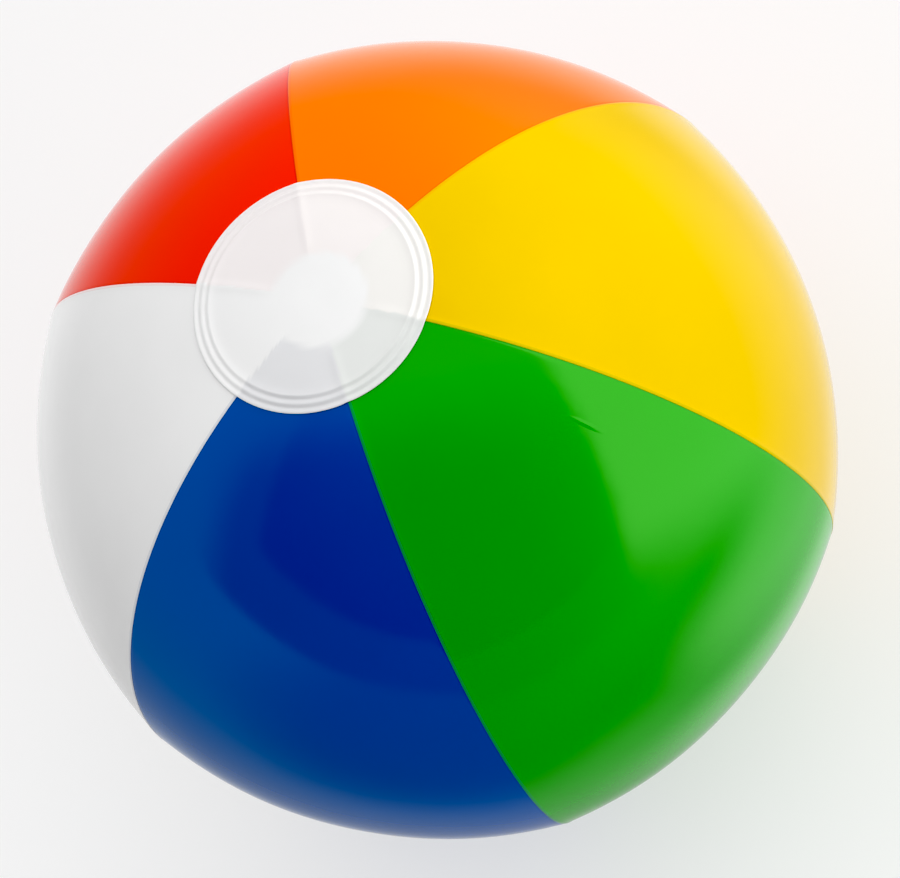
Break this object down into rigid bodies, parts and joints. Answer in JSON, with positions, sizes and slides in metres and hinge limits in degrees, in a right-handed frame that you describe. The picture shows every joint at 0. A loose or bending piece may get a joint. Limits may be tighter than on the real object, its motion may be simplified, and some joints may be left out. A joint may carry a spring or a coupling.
{
  "type": "inflatable beach ball",
  "caption": "Inflated beach ball of coloured vinyl panels welded pole to pole, with white end discs and a push-in air valve that pulls out and has a hinged plug.",
  "frame": {"origin": "centre of the inflated ball, halfway between its two end discs", "axes": "+Z out of the plain end disc along the axis that all the panels' seams meet on; -Z out of the valve; +X towards the seam between the red and the orange panel"},
  "size_m": [0.34, 0.334, 0.3238],
  "materials": {
    "red_film": "glossy thin PVC film",
    "orange_film": "glossy thin PVC film",
    "yellow_film": "glossy thin PVC film",
    "green_film": "glossy thin PVC film",
    "blue_film": "glossy thin PVC film",
    "white_film": "glossy thin PVC film",
    "disc_film": "glossy, slightly see-through white PVC film with embossed weld ridges",
    "valve_vinyl": "soft clear-white moulded PVC, semi-gloss",
    "flap_vinyl": "thin clear PVC film"
  },
  "bodies": {
    "root": {"panel_red": "red_film", "panel_orange": "orange_film", "panel_yellow": "yellow_film", "panel_green": "green_film", "panel_blue": "blue_film", "panel_white": "white_film", "top_disc": "disc_film", "bottom_disc": "disc_film", "valve_flange": "valve_vinyl", "valve_membrane": "valve_vinyl"},
    "stem": {"valve_stem": "valve_vinyl"},
    "plug": {"valve_plug": "valve_vinyl", "plug_strap": "valve_vinyl"},
    "flap": {"check_flap": "flap_vinyl"}
  },
  "joints": [
    {"name": "valve_pull_out", "type": "slide", "parent": "root", "child": "stem", "axis": [0, 0, -1], "range_m": [0, 0.014], "deforming": ["valve_membrane"]},
    {"name": "plug_swing", "type": "hinge", "parent": "stem", "child": "plug", "pos_m": [-0.008, 0, -0.16178], "axis": [0, 1, 0], "range_deg": [0, 150]},
    {"name": "flap_open", "type": "hinge", "parent": "stem", "child": "flap", "pos_m": [0.0043, 0, -0.14868], "axis": [0, 1, 0], "range_deg": [0, 60]}
  ]
}
